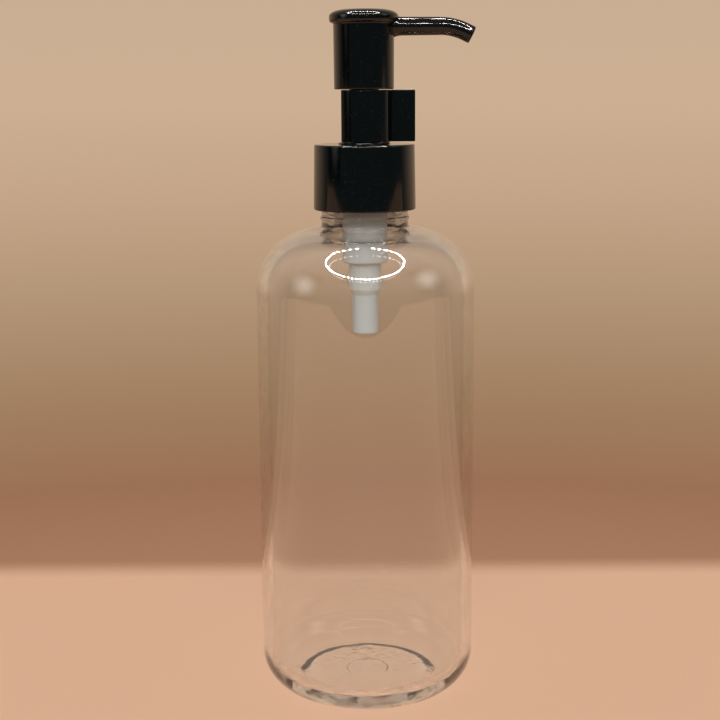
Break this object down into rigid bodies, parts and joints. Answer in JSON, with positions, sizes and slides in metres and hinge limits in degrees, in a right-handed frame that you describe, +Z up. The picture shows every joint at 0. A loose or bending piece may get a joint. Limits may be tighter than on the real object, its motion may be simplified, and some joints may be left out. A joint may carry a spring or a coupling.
{
  "type": "soap pump dispenser",
  "caption": "Clear round bottle with a black screw closure and a lotion pump held up by a pull-off lock clip",
  "frame": {"origin": "centre of the bottle's footprint, on the surface it stands on", "axes": "+Z up along the bottle, +X towards the nozzle"},
  "size_m": [0.0624, 0.0624, 0.1967],
  "materials": {
    "clear_bottle": "clear, glossy, thick-walled plastic",
    "black_plastic": "gloss moulded",
    "natural_plastic": "natural, slightly see-through",
    "seal": "soft satin",
    "steel": "bright drawn"
  },
  "bodies": {
    "bottle": {"bottle": "clear_bottle"},
    "pump_core": {"pump_housing": "natural_plastic", "gasket": "seal", "collar": "black_plastic", "ball_cage": "natural_plastic", "spring": "steel"},
    "closure": {"closure": "black_plastic"},
    "rod": {"piston_rod": "natural_plastic"},
    "piston": {"piston": "seal"},
    "plunger": {"stem": "black_plastic", "pump_head": "black_plastic"},
    "inlet_ball": {"inlet_ball": "steel"},
    "lock_clip": {"lock_clip": "black_plastic"}
  },
  "joints": [
    {"name": "pump_lift", "type": "slide", "parent": "bottle", "child": "pump_core", "axis": [0, 0, 1], "range_m": [0, 0.00476]},
    {"name": "closure_turn", "type": "hinge", "parent": "pump_core", "child": "closure", "pos_m": [0, 0, 0.15], "axis": [0, 0, 1], "range_deg": [0, 540]},
    {"name": "plunger_stroke", "type": "slide", "parent": "pump_core", "child": "rod", "axis": [0, 0, -1], "range_m": [0, 0.0142], "stiffness_N_per_m": 400, "springref_m": -0.008, "deforming": ["spring"]},
    {"name": "head_turn", "type": "hinge", "parent": "rod", "child": "plunger", "pos_m": [0, 0, 0.18], "axis": [0, 0, 1], "continuous": true},
    {"name": "valve_slip", "type": "slide", "parent": "rod", "child": "piston", "axis": [0, 0, 1], "range_m": [0, 0.0008]},
    {"name": "inlet_ball_lift", "type": "slide", "parent": "pump_core", "child": "inlet_ball", "axis": [0, 0, 1], "range_m": [0, 0.0012]},
    {"name": "lock_clip_pull", "type": "slide", "parent": "pump_core", "child": "lock_clip", "axis": [1, 0, 0], "range_m": [0, 0.04], "deforming": ["lock_clip"]}
  ],
  "couplings": [
    {"joint": "closure_turn", "follows": "pump_lift", "rad_per_m": 1979},
    {"joint": "lock_clip_pull", "follows": "plunger_stroke", "ratio": 2.8169}
  ]
}
